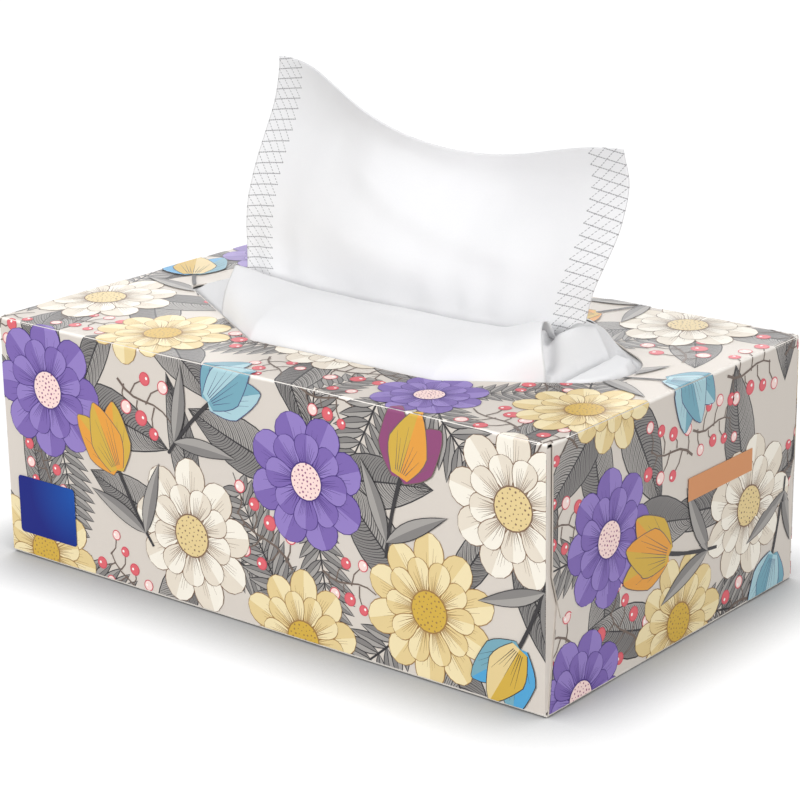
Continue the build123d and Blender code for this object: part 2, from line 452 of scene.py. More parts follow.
def drawBerries(name, count=7):
    # twig with round berries
    bm = bmesh.new()
    rng = random.Random(name)
    twig = [(berry["sway"] * math.sin(k), berry["foot"] + berry["pace"] * k) for k in range(7)]
    addStroke(bm, twig, berry["twig"], "twig", 0.0, berry["twigTaper"])
    for k in range(count):
        side = -1 if k % 2 else 1
        start = (berry["sway"] * math.sin(berry["turn"] * k), berry["first"] + berry["step"] * k)
        tip = (side * rng.uniform(*berry["stemOut"]), start[1] + rng.uniform(*berry["stemUp"]))
        middle = ((start[0] + tip[0]) / 2, start[1] + 0.5)
        addStroke(bm, [start, middle, tip], berry["stem"], "twig", 0.005, berry["stemTaper"])
        size, shift = rng.uniform(*berry["sizes"]), berry["glintShift"]
        addDisc(bm, *tip, size, "pinkLine", 0.01, 18)
        addDisc(bm, *tip, size - berry["line"], "coral" if k % 3 else "pink", 0.02, 18)
        addDisc(bm, tip[0] - shift, tip[1] + shift, berry["glint"], "white", 0.03, 10)
    return meshFrom("motif_" + name, bm)


leafShape = {
    "line": 0.5, "rib": 0.95, "ribTaper": 0.3, "stalk": -6.0, "veinSpan": (0.06, 0.9), "veinRise": 0.16,
    "veinBow": 1.4, "veinEnd": 0.985, "veinReach": 0.96, "veinTaper": 0.4, "leastVein": 1.2,
    "hatch": ((0.0, 0.42), (0.028, 0.24), (0.05, 0.24)),
}


def drawLeaf(name, length=44.0, width=19.0, tones=("leaf", "leafPale"), line="leafLine", veins=11, bend=0.1):
    # broad leaf with a mid-rib and hatched side veins
    bm, shape = bmesh.new(), leafShape
    addBlade(bm, length, width, leafOutline, tones, line, 0.0, 0.0, 0.0, bend, shape["line"])
    rib = [(0.0, shape["stalk"])] + [(bend * (k / 8) ** 2 * length, length * k / 8) for k in range(9)]
    addStroke(bm, rib, shape["rib"], line, 2 * lift["line"], shape["ribTaper"])
    for vein in range(veins):
        for side in (-1, 1):
            s = between(shape["veinSpan"], vein / veins)
            for offset, wide in shape["hatch"]:
                path = []
                for k in range(5):
                    q = min(s + offset + shape["veinRise"] * (k / 4) ** shape["veinBow"], shape["veinEnd"])
                    half = max(leafOutline(q) * width / 2 - shape["line"], 0)
                    path.append((side * half * shape["veinReach"] * k / 4 + bend * q * q * length, q * length))
                if (Vector(path[-1]) - Vector(path[0])).length > shape["leastVein"]:
                    addStroke(bm, path, wide, line, lift["line"], shape["veinTaper"])
    return meshFrom("motif_" + name, bm)


fern = {
    "pairs": 10, "length": 48.0, "arch": 4.5, "spine": 0.9, "span": (0.12, 0.94), "turn": 0.95,
    "leaflet": 12.5, "leafletWidth": 4.0, "least": 2, "swell": (0.16, 0.96), "vein": 0.34, "veinReach": 0.85,
}


def drawFern(name):
    # arching frond of small paired leaflets
    bm = bmesh.new()
    spine = [(fern["arch"] * (k / 12) ** 2, fern["length"] * k / 12) for k in range(13)]
    addStroke(bm, spine, fern["spine"], "leafLine", 0.025, 0.3)
    for pair in range(fern["pairs"]):
        s = between(fern["span"], pair / fern["pairs"])
        root = (fern["arch"] * s * s, fern["length"] * s)
        long = fern["leaflet"] * math.sin(math.pi * between(fern["swell"], s)) + fern["least"]
        for side in (-1, 1):
            turn = -side * fern["turn"]
            verts = addBlade(
                bm, long, fern["leafletWidth"], leafOutline, ("leafPale", "leaf"), "leafLine",
                0.01 * (pair % 2), turn, 0.0, 0.0, 0.34)
            bmesh.ops.translate(bm, verts=verts, vec=(root[0], root[1], 0))
            tip = turned((0, long * fern["veinReach"]), turn)
            vein = [(root[0] + tip[0] * k / 2, root[1] + tip[1] * k / 2) for k in range(3)]
            addStroke(bm, vein, fern["vein"], "leafLine", 2 * lift["line"])
    return meshFrom("motif_" + name, bm)


motifs = {
    name: draw(name, *values) for name, draw, *values in (
        ("violet", drawRosette, ("violet", "violetPale"), "violetLine", "pink", "plum"),
        ("ochre", drawRosette, ("ochre", "ochrePale"), "ochreLine", "gold", "ochreLine", 10, 20.0, 5.5),
        ("cream", drawRosette, ("cream", "creamShade"), "creamLine", "ochre", "creamLine", 9, 20.0, 6.0),
        ("tulipTeal", drawTulip, ("teal", "tealPale"), ("tealPale", "teal"), "navy"),
        ("tulipBlue", drawTulip, ("blue", "teal"), ("gold", "ochre"), "leafLine"),
        ("tulipPlum", drawTulip, ("plum", "plum"), ("gold", "amber"), "twig"),
        ("tulipAmber", drawTulip, ("amber", "gold"), ("gold", "amber"), "twig"),
        ("berries", drawBerries),
        ("berriesSmall", drawBerries, 5),
        ("leaf", drawLeaf),
        ("leafLong", drawLeaf, 50.0, 14.0, ("leafPale", "leaf"), "leafLine", 13, -0.16),
        ("fern", drawFern),
    )
}
print("motifs drawn:", {name: len(mesh.polygons) for name, mesh in motifs.items()})

# layout on the blank: u along the box, v round it from the front's lower edge, both in mm
half = boxLength / 2 / mm
wide = boxWidth / mm
tall = boxHeight / mm
midV = tall + wide / 2
layers = {"leaf": (0.0, 0.03, 0.06), "berry": 0.09, "bloom": 0.13, "tulip": 0.29, "plate": 0.41}
reach = {"bloom": 24.5, "tulip": 22.0, "berry": 11.0}

# blooms and tulips listed one by one: name, u, v, turn in degrees, scale
frontStamps = [
    ("violet", -88, 60, 0, 1.0), ("cream", -26, 24, 0, 0.95), ("violet", 22, 52, 20, 0.95),
    ("ochre", 68, 22, 0, 0.95), ("cream", 98, 60, 0, 0.9), ("tulipAmber", -58, 40, 25, 0.95),
    ("tulipTeal", -16, 70, -50, 0.95), ("tulipPlum", 58, 62, -20, 0.95), ("tulipBlue", 100, 18, 150, 0.9),
]
topStamps = [
    ("ochre", -52, 98, 0, 0.9), ("cream", -98, 118, 0, 0.95), ("violet", -88, 198, 0, 1.0),
    ("ochre", 4, 207, 0, 0.95), ("cream", 76, 203, 0, 0.9), ("violet", 56, 97, 0, 0.75),
    ("ochre", 100, 112, 0, 0.85), ("violet", 112, 190, 0, 0.85), ("tulipBlue", -96, 158, 40, 1.0),
    ("tulipTeal", -40, 198, 160, 0.9), ("tulipAmber", 44, 197, 150, 0.9), ("tulipPlum", 0, 97, 80, 0.8),
    ("tulipTeal", 104, 150, -70, 0.9),
]
endStamps = [
    ("violet", 146, 110, 0, 0.9), ("cream", 158, 186, 0, 0.9), ("ochre", 184, 148, 0, 0.9),
    ("tulipAmber", 160, 140, 160, 1.0), ("tulipTeal", 180, 202, -110, 0.9),
]


def turnedOver(stamps):
    return [(name, -u, 2 * tall + wide - v, turn + 180, scale) for name, u, v, turn, scale in stamps]


def kindOf(name):
    return "tulip" if "tulip" in name else "berry" if "berries" in name else "bloom"


def onBlank(u, v):
    return abs(u) < half or tall < v < tall + wide


layout = {
    "seed": 11, "bloomTries": 1500, "berryTries": 2500, "overlap": 0.97, "fromTulip": 14.0,
    "berryToBloom": 0.8, "berryToTulip": 0.75, "leavesEach": 4, "leafSpread": 22.0, "leafRoot": 0.35,
    "leafHalf": 8.5, "fernHalf": 7.0, "leafSteps": (2, 12, 22, 32, 42),
}


def layOut():
    # blooms first, then leaves behind them, then berries in the gaps
    rng = random.Random(layout["seed"])
    placed, spots = [], {"bloom": [], "tulip": [], "berry": []}

    def anywhere():
        return rng.uniform(-half - tall, half + tall), rng.uniform(0, 2 * tall + wide)

    def clear(kind, u, v, size, share=1.0):
        return all(math.hypot(u - a, v - b) > share * (size + r) for a, b, r in spots[kind])

    def place(name, u, v, turn, scale):
        kind = kindOf(name)
        size = reach[kind] * scale
        if clear(kind, u, v, size, layout["overlap"]):
            spots[kind].append((u, v, size))
            placed.append((name, u, v, turn, scale, layers[kind]))

    for stamp in frontStamps + topStamps + endStamps + turnedOver(endStamps) + turnedOver(frontStamps):
        place(*stamp)
    for attempt in range(layout["bloomTries"]):
        u, v = anywhere()
        name = rng.choice(("violet", "ochre", "cream"))
        if onBlank(u, v) and clear("bloom", u, v, reach["bloom"]) and clear("tulip", u, v, layout["fromTulip"]):
            place(name, u, v, rng.uniform(0, 360), rng.uniform(0.85, 1.0))

    leaves = [[] for layer in layers["leaf"]]

    def placeLeaf(name, u, v, turn, scale):
        direction = turned((0, 1), math.radians(turn))
        size = (layout["fernHalf"] if name == "fern" else layout["leafHalf"]) * scale
        points = [
            (u + direction[0] * step * scale, v + direction[1] * step * scale) for step in layout["leafSteps"]]
        for layer, others in enumerate(leaves):
            if all(math.hypot(a - c, b - d) > size + other for a, b in points for c, d, other in others):
                others.extend((a, b, size) for a, b in points)
                placed.append((name, u, v, turn, scale, layers["leaf"][layer]))
                return

    for u, v, size in list(spots["bloom"]):
        first = rng.uniform(0, 360)
        for k in range(layout["leavesEach"]):
            turn = first + 360 / layout["leavesEach"] * k + rng.uniform(-layout["leafSpread"], layout["leafSpread"])
            root = turned((0, layout["leafRoot"] * size), math.radians(turn))
            name = rng.choice(("leaf", "leafLong", "fern", "leaf"))
            placeLeaf(name, u + root[0], v + root[1], turn, rng.uniform(0.82, 1.05))
    for attempt in range(layout["berryTries"]):
        u, v = anywhere()
        size = reach["berry"]
        apart = (("berry", 1.0), ("bloom", layout["berryToBloom"]), ("tulip", layout["berryToTulip"]))
        if onBlank(u, v) and all(clear(kind, u, v, size, share) for kind, share in apart):
            name = rng.choice(("berries", "berriesSmall"))
            place(name, u, v, rng.uniform(0, 360), rng.uniform(0.85, 1.1))
    return placed


stamps = layOut()
print("stamps laid out:", len(stamps))

# the blank's outline, in mm, for cutting the print to its panels
blank = {
    "crease": 0.9, "bare": 0.18,  # crease radius, and the rubbed line along it
    "flapInset": 2.0, "flapDrop": 52.5, "flapCutIn": 4.0, "flapCutUp": 13.0,
    "lowerInset": 1.0, "lowerTaper": 5.0, "lowerRise": 44.0, "board": 0.5,
    "mouthMargin": 0.35,
}
mouthShape = {
    "half": 39.0, "leftFlat": -25.0, "rightFlat": 48.0, "leftPoint": -89.5, "rightPoint": 108.5,
    "leftRadius": 5.0, "rightRadius": 20.0, "cornerRadius": 8.0, "cornerSteps": 7, "cornerSpan": 4.0,
}
flapHalf = wide / 2 - blank["flapInset"]


def mouthLines():
    # half-planes of the rounded hexagon: its straight sides, and tangents round each corner
    m = mouthShape
    corners = [
        (m["leftPoint"], 0, m["leftRadius"]), (m["leftFlat"], -m["half"], m["cornerRadius"]),
        (m["rightFlat"], -m["half"], m["cornerRadius"]), (m["rightPoint"], 0, m["rightRadius"]),
        (m["rightFlat"], m["half"], m["cornerRadius"]), (m["leftFlat"], m["half"], m["cornerRadius"]),
    ]
    lines = []
    for k in range(6):
        here, after, before = (Vector(corners[i % 6][:2]) for i in (k, k + 1, k - 1))
        out = Vector(((after - here).y, -(after - here).x)).normalized()
        outBefore = Vector(((here - before).y, -(here - before).x)).normalized()
        lines.append((here, out, (after - here).length))
        radius = corners[k][2]
        bisector = (out + outBefore).normalized()
        centre = here - bisector * radius / bisector.dot(out)
        for step in range(1, m["cornerSteps"]):
            normal = outBefore.lerp(out, step / m["cornerSteps"]).normalized()
            lines.append((centre + normal * radius, normal, m["cornerSpan"]))
    return lines


mouth = mouthLines()


def mouthDepth(x, y):
    # how far a place lies inside the mouth's edge
    place = Vector((x, y))
    return min((point - place).dot(normal) for point, normal, _ in mouth)


def onFlap(depth, y):
    intoCut = max(0.0, depth - (blank["flapDrop"] - blank["flapCutUp"]))
    inset = intoCut / blank["flapCutUp"] * blank["flapCutIn"]
    return depth < blank["flapDrop"] and abs(y) < flapHalf - inset


def onLowerFlap(depth, y):
    up = tall - depth
    taper = blank["lowerTaper"] * up / blank["lowerRise"]
    return blank["crease"] < up < blank["lowerRise"] and abs(y) < wide / 2 - blank["lowerInset"] - taper


def panelCuts():
    crease, bare = blank["crease"], blank["bare"]
    across = (-crease, -crease / 2, -bare, bare, crease / 2, crease)
    cuts = []
    for edge in (tall, tall + wide):
        cuts += [((0, edge + s), (0, 1)) for s in across]
    cuts += [((0, v), (0, 1)) for v in (crease, 2 * tall + wide - crease)]
    for side in (-1, 1):
        cuts += [((side * (half + s), 0), (1, 0)) for s in across + (blank["flapDrop"], tall - crease)]
        for edge in (-1, 1):
            cuts.append(((0, midV + edge * flapHalf), (0, 1)))
            start = (side * (half + blank["flapDrop"]), midV + edge * (flapHalf - blank["flapCutIn"]))
            cuts.append((start, (side * blank["flapCutIn"], edge * blank["flapCutUp"])))
            foot = (side * (half + tall), midV + edge * (wide / 2 - blank["lowerInset"]))
            cuts.append((foot, (-side * blank["lowerTaper"], edge * blank["lowerRise"])))
    return [(Vector(point), Vector(normal).normalized()) for point, normal in cuts]


allCuts = panelCuts()


def cutStamp(bm, centre, radius):
    cuts = list(allCuts)
    if mouthDepth(centre.x, centre.y - midV) > -radius - 1:
        for point, normal, span in mouth:
            place = point + normal * blank["mouthMargin"] + Vector((0, midV))
            if (place - centre).length < radius + span:
                cuts.append((place, normal))
    for point, normal in cuts:
        if abs((centre - point).dot(normal)) < radius:
            everything = bm.verts[:] + bm.edges[:] + bm.faces[:]
            bmesh.ops.bisect_plane(
                bm, geom=everything, plane_co=point.to_3d(), plane_no=normal.to_3d(), dist=1e-5)


def regionOf(u, v):
    # the panel that a place on the blank belongs to, or None where the board is bare or cut away
    bare, crease = blank["bare"], blank["crease"]
    past = abs(u) - half
    y = v - midV
    if past < 0:
        if not crease < v < 2 * tall + wide - crease or mouthDepth(u, y) > -blank["mouthMargin"]:
            return None
        onTop = tall < v < tall + wide
        if min(abs(v - tall), abs(v - tall - wide)) < bare:
            return None
        if past > -bare or (past > -crease and (not onTop or abs(y) > flapHalf)):
            return None
        return "Top" if onTop else "Front" if v < tall else "Rear"
    if past < bare:
        return None
    side = "Right" if u > 0 else "Left"
    if onFlap(past, y):
        return side
    return side + "Lower" if onLowerFlap(past, y) else None


def roundFold(s, height, point, outA, outB):
    # s runs across the crease, from panel A at minus its radius to panel B at plus it
    radius = blank["crease"]
    angle = (s + radius) / (2 * radius) * math.pi / 2
    centre = point - (outA + outB) * radius
    return centre + (outA * math.cos(angle) + outB * math.sin(angle)) * (radius + height)


def foldPoint(u, v, height, lower):
    crease = blank["crease"]
    up, ahead, back = Vector((0, 0, 1)), Vector((0, -1, 0)), Vector((0, 1, 0))
    side = 1 if u > 0 else -1
    past = abs(u) - half
    y = v - midV
    if lower:
        return Vector((side * (half - blank["board"] + height), y, tall - past))
    if past > -crease and tall + crease < v < tall + wide - crease:
        outward = Vector((side, 0, 0))
        if past < crease:
            return roundFold(past, height, Vector((side * half, y, tall)), up, outward)
        return Vector((side * (half + height), y, tall - past))
    if v < tall - crease:
        return Vector((u, -wide / 2 - height, v))
    if v < tall + crease:
        return roundFold(v - tall, height, Vector((u, -wide / 2, tall)), ahead, up)
    if v < tall + wide - crease:
        return Vector((u, y, tall + height))
    if v < tall + wide + crease:
        return roundFold(v - tall - wide, height, Vector((u, wide / 2, tall)), up, back)
    return Vector((u, wide / 2 + height, 2 * tall + wide - v))


# plain printed blocks: u, v, width, height, corner radius, ink
plates = {
    "label": (-91.3, 18.1, 26.3, 19.8, 1.3, "labelBlue"),
    "block": (half + 33.0, 168.9, 7.3, 36.0, 0.0, "panelOrange"),
    "otherBlock": (-half - 33.0, 127.1, 7.3, 36.0, 0.0, "panelOrange"),
}


def drawPlate(bm, width, height, radius, ink):
    made = bmesh.ops.create_grid(bm, x_segments=1, y_segments=1, size=0.5)
    bmesh.ops.transform(bm, matrix=Matrix.Diagonal((width, height, 1, 1)), verts=made["verts"])
    face = made["verts"][0].link_faces[0]
    face.material_index = inkIndex[ink]
    if radius:
        bmesh.ops.bevel(
            bm, geom=list(face.verts), offset=radius, offset_type="OFFSET", segments=6, profile=0.5,
            affect="VERTICES", material=-1)


panels = ("Front", "Top", "Rear", "Right", "Left")
uvFill = 0.98  # share of the unit square that a panel's print takes


def makePrint():
    merged = {panel: bmesh.new() for panel in panels}
    spare = bpy.data.meshes.new("stampSpare")

    def press(bm, centre):
        # cut one stamp at the panels' edges, fold it and add it to its panels
        radius = max((vert.co.to_2d() - centre).length for vert in bm.verts)
        cutStamp(bm, centre, radius)
        regions = {}
        for index, face in enumerate(bm.faces):
            middle = face.calc_center_median()
            regions.setdefault(regionOf(middle.x, middle.y), set()).add(index)
        for region in regions:
            if region is None:
                continue
            part = bm.copy()
            others = [face for index, face in enumerate(part.faces) if index not in regions[region]]
            bmesh.ops.delete(part, geom=others, context="FACES")
            for vert in part.verts:
                vert.co = foldPoint(vert.co.x, vert.co.y, vert.co.z, region.endswith("Lower")) * mm
            part.to_mesh(spare)
            part.free()
            merged[region.removesuffix("Lower")].from_mesh(spare)
        bm.free()

    for name, u, v, turn, scale, layer in stamps:
        bm = bmesh.new()
        bm.from_mesh(motifs[name])
        matrix = Matrix.Translation((u, v, lift["ink"] + layer)) @ Matrix.Rotation(math.radians(turn), 4, "Z")
        bmesh.ops.transform(bm, matrix=matrix @ Matrix.Diagonal((scale, scale, 1, 1)), verts=bm.verts)
        press(bm, Vector((u, v)))
    for u, v, *plate in plates.values():
        bm = bmesh.new()
        drawPlate(bm, *plate)
        bmesh.ops.translate(bm, verts=bm.verts, vec=(u, v, layers["plate"]))
        press(bm, Vector((u, v)))
    for panel, bm in merged.items():
        flat = bm.loops.layers.uv.new("OFBake")
        for face in bm.faces:
            for loop in face.loops:
                place = loop.vert.co
                first = place.y / boxWidth if panel in ("Right", "Left") else place.x / boxLength
                second = place.y / boxWidth + 0.5 if panel == "Top" else place.z / boxHeight
                loop[flat].uv = (first * uvFill + 0.5, second * uvFill + (1 - uvFill) / 2)
        piece = addPiece("print" + panel, bm, inkMaterials)
        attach(piece, "root")
        print("print on panel", panel, len(piece.data.polygons), "faces")
    bpy.data.meshes.remove(spare)


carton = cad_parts["carton"]
carton.data.materials.clear()
carton.data.materials.append(makeBoardMaterial())
makePrint()

# tissues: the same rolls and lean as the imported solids, drawn finely; lengths in mm
crown = {
    "clearance": 1.0, "edgeDrop": 1.0, "nip": -2.0, "nipDepth": 0.4, "nipDrop": 3.5, "nipWidth": 3.2,
    "rearShare": 0.85, "crestShare": 0.76, "sheet": 0.4, "gap": 0.3, "least": 2.0,
    "left": -54.0, "right": 73.0, "rise": 10.3, "leftRise": 12.0, "rightRise": 13.0,
    "gussetStep": 5.0, "gussetLeft": 7.0, "gussetRight": 10.0, "tipRise": 0.6, "tipGap": 1.0,
    "slantFoot": -21.6, "slantReach": 13.6, "leftFoot": 2.4, "leftSlant": 8.0, "rightFoot": 2.5, "rightSlant": 8.5,
}
crownEdge = tall - crown["edgeDrop"]


def mouthEnd(flat, point, radius):
    # the rounded tip of the mouth, and a little beyond it
    angle = math.atan2(mouthShape["half"], abs(point - flat))
    return point - math.copysign(radius * (1 / math.sin(angle) - 1) - crown["tipGap"], point)


crownLeft = mouthEnd(mouthShape["leftFlat"], mouthShape["leftPoint"], mouthShape["leftRadius"])
crownRight = mouthEnd(mouthShape["rightFlat"], mouthShape["rightPoint"], mouthShape["rightRadius"])
stations = (
    (crownLeft, crown["tipRise"]),
    (crown["left"] - crown["gussetStep"], crown["gussetLeft"]),
    (crown["left"], crown["leftRise"]),
    (mouthShape["leftFlat"], crown["rise"]),
    (mouthShape["rightFlat"], crown["rise"]),
    (crown["right"], crown["rightRise"]),
    (crown["right"] + crown["gussetStep"], crown["gussetRight"]),
    (crownRight, crown["tipRise"]),
)


def smooth(t):
    t = min(max(t, 0.0), 1.0)
    return t * t * (3 - 2 * t)


def riseAt(x):
    for (x0, rise0), (x1, rise1) in zip(stations, stations[1:]):
        if x <= x1:
            return rise0 + (rise1 - rise0) * smooth((x - x0) / (x1 - x0))
    return crown["tipRise"]


def mouthHalfAt(x):
    m = mouthShape
    if m["leftFlat"] <= x <= m["rightFlat"]:
        return m["half"]
    if x < m["leftFlat"]:
        fromPoint, radius, span = x - m["leftPoint"], m["leftRadius"], m["leftFlat"] - m["leftPoint"]
    else:
        fromPoint, radius, span = m["rightPoint"] - x, m["rightRadius"], m["rightPoint"] - m["rightFlat"]
    angle = math.atan2(m["half"], span)
    past = radius / math.sin(angle) - fromPoint
    if past > radius * math.sin(angle):
        return math.sqrt(max(radius * radius - past * past, 0))
    return fromPoint * math.tan(angle)


def crownHalfAt(x):
    return max(mouthHalfAt(x) - crown["clearance"], crown["least"])


def foldHeight(x, rise):
    return crown["rearShare"] * rise * (1 - crown["nipDepth"] * crownHalfAt(x) / mouthShape["half"])


def crownPoint(x, w, out, full):
    # w from -1 at the mouth's front edge through 0 in the fold to 1 at its rear edge; full is the crest's rise
    edge = (crownHalfAt(x) + out) * (-1 if w < 0 else 1)
    rise = full * (1 if w < 0 else crown["rearShare"])
    finish = math.pi - math.asin(min(foldHeight(x, full) / rise, 1))
    turn = finish * (1 - abs(w))
    crest = crown["crestShare"]
    if turn < math.pi / 2:
        share = crest * (1 - math.cos(turn))
    else:
        share = crest + (1 - crest) * math.cos(turn) / min(math.cos(finish), -1e-6)
    y = edge + share * (crown["nip"] - edge)
    drop = crown["nipDrop"] * math.exp(-((y - crown["nip"]) / crown["nipWidth"]) ** 2)
    return Vector((x, y, crownEdge + out + rise * math.sin(turn) - drop))


def rollEnds(y):
    # the roll's cut ends run back at a slant, so its crest lies further left than its foot
    c = crown
    back = min(max((y - c["slantFoot"]) / c["slantReach"], 0), 1)
    return c["left"] + c["leftFoot"] - c["leftSlant"] * back, c["right"] + c["rightFoot"] - c["rightSlant"] * back


# folds beyond the roll's ends: a pocket on the left, and on the right two folds that meet in a crease
gusset = {
    "floor": 79.9, "edgeSlope": 2.6, "under": 1.2, "dip": 5.0, "dipReach": 3.2, "dipDepth": 6.0,
    "leftSlope": 0.62, "leftTop": 88.0, "peak": 93.2, "rearSlope": 1.05, "rearFall": 2.4,
    "creaseStart": (75.8, -21.5, 82.4), "creaseEnd": (79.4, 5.0, 85.6), "step": (1.2, 0.6), "outerFall": 0.1,
    "furrow": 3.3, "furrowPlace": 1.6, "furrowWidth": 1.3, "furrowEnd": 1.15, "furrowFade": 0.3, "furrowEdge": 4.0,
    "innerRise": (0.7, 1.9), "tuck": 1.5, "blendFrom": 0.35, "fadeOut": 15.0,
}


def gussetHeight(x, y):
    g = gusset
    depth = max(mouthDepth(x, y) - crown["clearance"], 0)
    left, right = rollEnds(y)
    beside = left - x if x < 0 else x - right
    dip = g["dip"] * math.exp(-(beside / g["dipReach"]) ** 2) * min(depth / g["dipDepth"], 1)
    if x < 0:
        return max(min(g["floor"] + g["leftSlope"] * depth, g["leftTop"]) - dip, g["floor"])
    start, finish = Vector(g["creaseStart"]), Vector(g["creaseEnd"])
    along = (y - start.y) / (finish.y - start.y)
    before = min(max(along, 0), 1)
    crease = between((start.z, finish.z), before) - g["rearFall"] * max(y - finish.y, 0)
    past = x - between((start.x, finish.x), before)
    if past > 0:
        # the upper fold ends in a furrow and a small step down to the lower one
        furrow = g["furrow"] * math.exp(-((past - g["furrowPlace"]) / g["furrowWidth"]) ** 2)
        furrow *= smooth((g["furrowEnd"] - along) / g["furrowFade"])
        height = crease - between(g["step"], before) * smooth(past) - furrow - g["outerFall"] * past
    else:
        height = crease - past * between(g["innerRise"], max(along, 0))
    rear = g["floor"] + g["rearSlope"] * max(crownHalfAt(x) - y, 0)
    lowest = g["floor"] - g["furrow"] * smooth(depth / g["furrowEdge"])
    return max(min(height, g["peak"], rear, g["floor"] + g["edgeSlope"] * depth) - dip, lowest)


def ripple(x, y, z, scale, size):
    return size * noise.noise(Vector((x, y, z)) * scale)


tissueLook = {
    "shade": (217, 217, 219), "light": (225, 225, 226), "roughness": 0.85, "sheen": 0.15,
    "creping": 0.00005, "crepingStrength": 0.3, "emboss": 2.0,
}


def tissueMaterial(name, embossed):
    material, tree, shader, coords = newMaterial(name)
    shader.inputs["Roughness"].default_value = tissueLook["roughness"]
    shader.inputs["Sheen Weight"].default_value = tissueLook["sheen"]
    crepe = placeGroup(tree, crepeGroup, coords)
    colour = mixColour(tree, crepe.outputs["Tone"], linear(tissueLook["shade"]), linear(tissueLook["light"]))
    height = crepe.outputs["Height"]
    if embossed:
        uv = tree.nodes.new("ShaderNodeUVMap")
        uv.uv_map = "sheet"
        split = tree.nodes.new("ShaderNodeSeparateXYZ")
        tree.links.new(uv.outputs["UV"], split.inputs[0])
        dots = borderDots(tree, split.outputs["X"], split.outputs["Y"])
        # painted shade: the border's dots are painted grey, as the embossed dimples would shade
        colour = mixColour(tree, dots, colour, linear(border["ink"]))
        height = mathNode(tree, "SUBTRACT", height, mathNode(tree, "MULTIPLY", dots, tissueLook["emboss"]))
    tree.links.new(colour, shader.inputs["Base Color"])
    addBump(tree, shader, height, tissueLook["creping"], tissueLook["crepingStrength"])
    return material


# embossed edges of the pulled sheet, in mm; the grey of their dots is painted shade of the embossing, and the
# duties are the painted-grey shares of a dash
border = {
    "width": 11.5, "pitch": 3.3, "dot": 0.78, "line": 0.16, "slant": 1.0, "tilt": 0.16,
    # the grey under the key ink is painted shade of the embossing, not ink
    "rowDuty": 0.85, "slantDuty": 0.62, "ink": (146, 146, 148),
}


def borderDots(tree, s, t):
    # rows that droop a little outwards, and slanted rows; both mirror left and right
    opposite = mathNode(tree, "SUBTRACT", pulled["width"], s)
    fromEdge = mathNode(tree, "MINIMUM", s, opposite)
    inBorder = mathNode(tree, "LESS_THAN", fromEdge, border["width"])
    droop = mathNode(tree, "MULTIPLY_ADD", fromEdge, -border["tilt"], t)
    slant = mathNode(tree, "MULTIPLY_ADD", t, border["slant"], fromEdge)
    families = []
    for across, along, duty in ((droop, fromEdge, border["rowDuty"]), (slant, t, border["slantDuty"])):
        phase = mathNode(tree, "FRACT", mathNode(tree, "DIVIDE", across, border["pitch"]))
        onLine = mathNode(tree, "COMPARE", phase, 0.5, border["line"] / border["pitch"])
        beat = mathNode(tree, "FRACT", mathNode(tree, "DIVIDE", along, border["dot"]))
        families.append(mathNode(tree, "MULTIPLY", onLine, mathNode(tree, "LESS_THAN", beat, duty)))
    return mathNode(tree, "MULTIPLY", mathNode(tree, "MAXIMUM", *families), inBorder)


def sheetPiece(name, across, along, thickness, surface, material, lengths=None):
    # a fine grid laid on the surface, then given its thickness
    bm = bmesh.new()
    made = bmesh.ops.create_grid(bm, x_segments=across, y_segments=along, size=0.5)
    uv = bm.loops.layers.uv.new("sheet")
    share = {vert: (vert.co.x + 0.5, vert.co.y + 0.5) for vert in made["verts"]}
    for face in bm.faces:
        for loop in face.loops:
            loop[uv].uv = lengths(*share[loop.vert]) if lengths else share[loop.vert]
    for vert in made["verts"]:
        vert.co = surface(*share[vert]) * mm
    for face in bm.faces:
        face.smooth = True
    piece = addPiece(name, bm, [material])
    wall = piece.modifiers.new("ply", "SOLIDIFY")
    wall.thickness = thickness * mm
    wall.offset = 0.0
    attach(piece, "root")
    return piece


# the pulled sheet: lengths in mm, heights on it as shares
pulled = {
    "width": 134.0, "shift": 8.0, "leftTop": 78.0, "rightTop": 65.0, "sag": 13.0, "sagBias": 1.2,
    "lean": 17.0, "curl": 9.0, "curlMix": 0.65, "curlFrom": 0.7, "curlOver": 0.42, "endShare": 0.35, "wave": 4.0,
    "footLift": 0.9, "footBlend": 7.0, "footCalm": 0.12, "hidden": 6.0, "columns": 230, "rows": 130,
    "bowRight": 8.8, "bowOver": 0.65, "bowPower": 1.6, "bowBack": 1.6, "bowBackFrom": 0.8, "bowLeft": 3.0,
    "belly": 8.0, "bellyFrom": 0.07, "bellyRise": 0.34, "bellyTop": 0.42, "bellyFall": 0.5,
    "ridge": 3.4, "ridgeWidth": 8.5, "ridgeSides": (0.8, 1.3), "ridgeTall": 62.0,
    "ridgeStart": (0.25, 0.76), "ridgeEnd": (0.76, 0.5), "ridgeIn": 0.3, "ridgeOut": (1.25, 0.35),
    "gathers": 0.5, "gatherCount": 7, "gatherSway": (0.4, 9.0),
    "ripples": ((3.0, 0.03, 1.0), (9.0, 0.11, 0.2)),  # seed, scale and size
}


def topEdgeAt(u):
    sag = pulled["sag"] * (1 - math.cos(2 * math.pi * u ** pulled["sagBias"])) / 2
    drop = pulled["leftTop"] - pulled["rightTop"]
    return tall + pulled["leftTop"] - drop * (1 - math.cos(math.pi * u)) / 2 - sag


def ridgeAt(u, v):
    # soft diagonal fold across the middle of the sheet, steeper below
    p = pulled
    size = Vector((p["width"], p["ridgeTall"]))
    here, start, finish = (Vector(spot) * size for spot in ((u, v), p["ridgeStart"], p["ridgeEnd"]))
    line = finish - start
    along = (here - start).dot(line) / line.length_squared
    near = start + line * along
    fade = smooth(along / p["ridgeIn"]) * smooth((p["ridgeOut"][0] - along) / p["ridgeOut"][1])
    width = p["ridgeWidth"] * p["ridgeSides"][0 if here.y < near.y else 1]
    return p["ridge"] * fade * math.exp(-((here - near).length / width) ** 2)


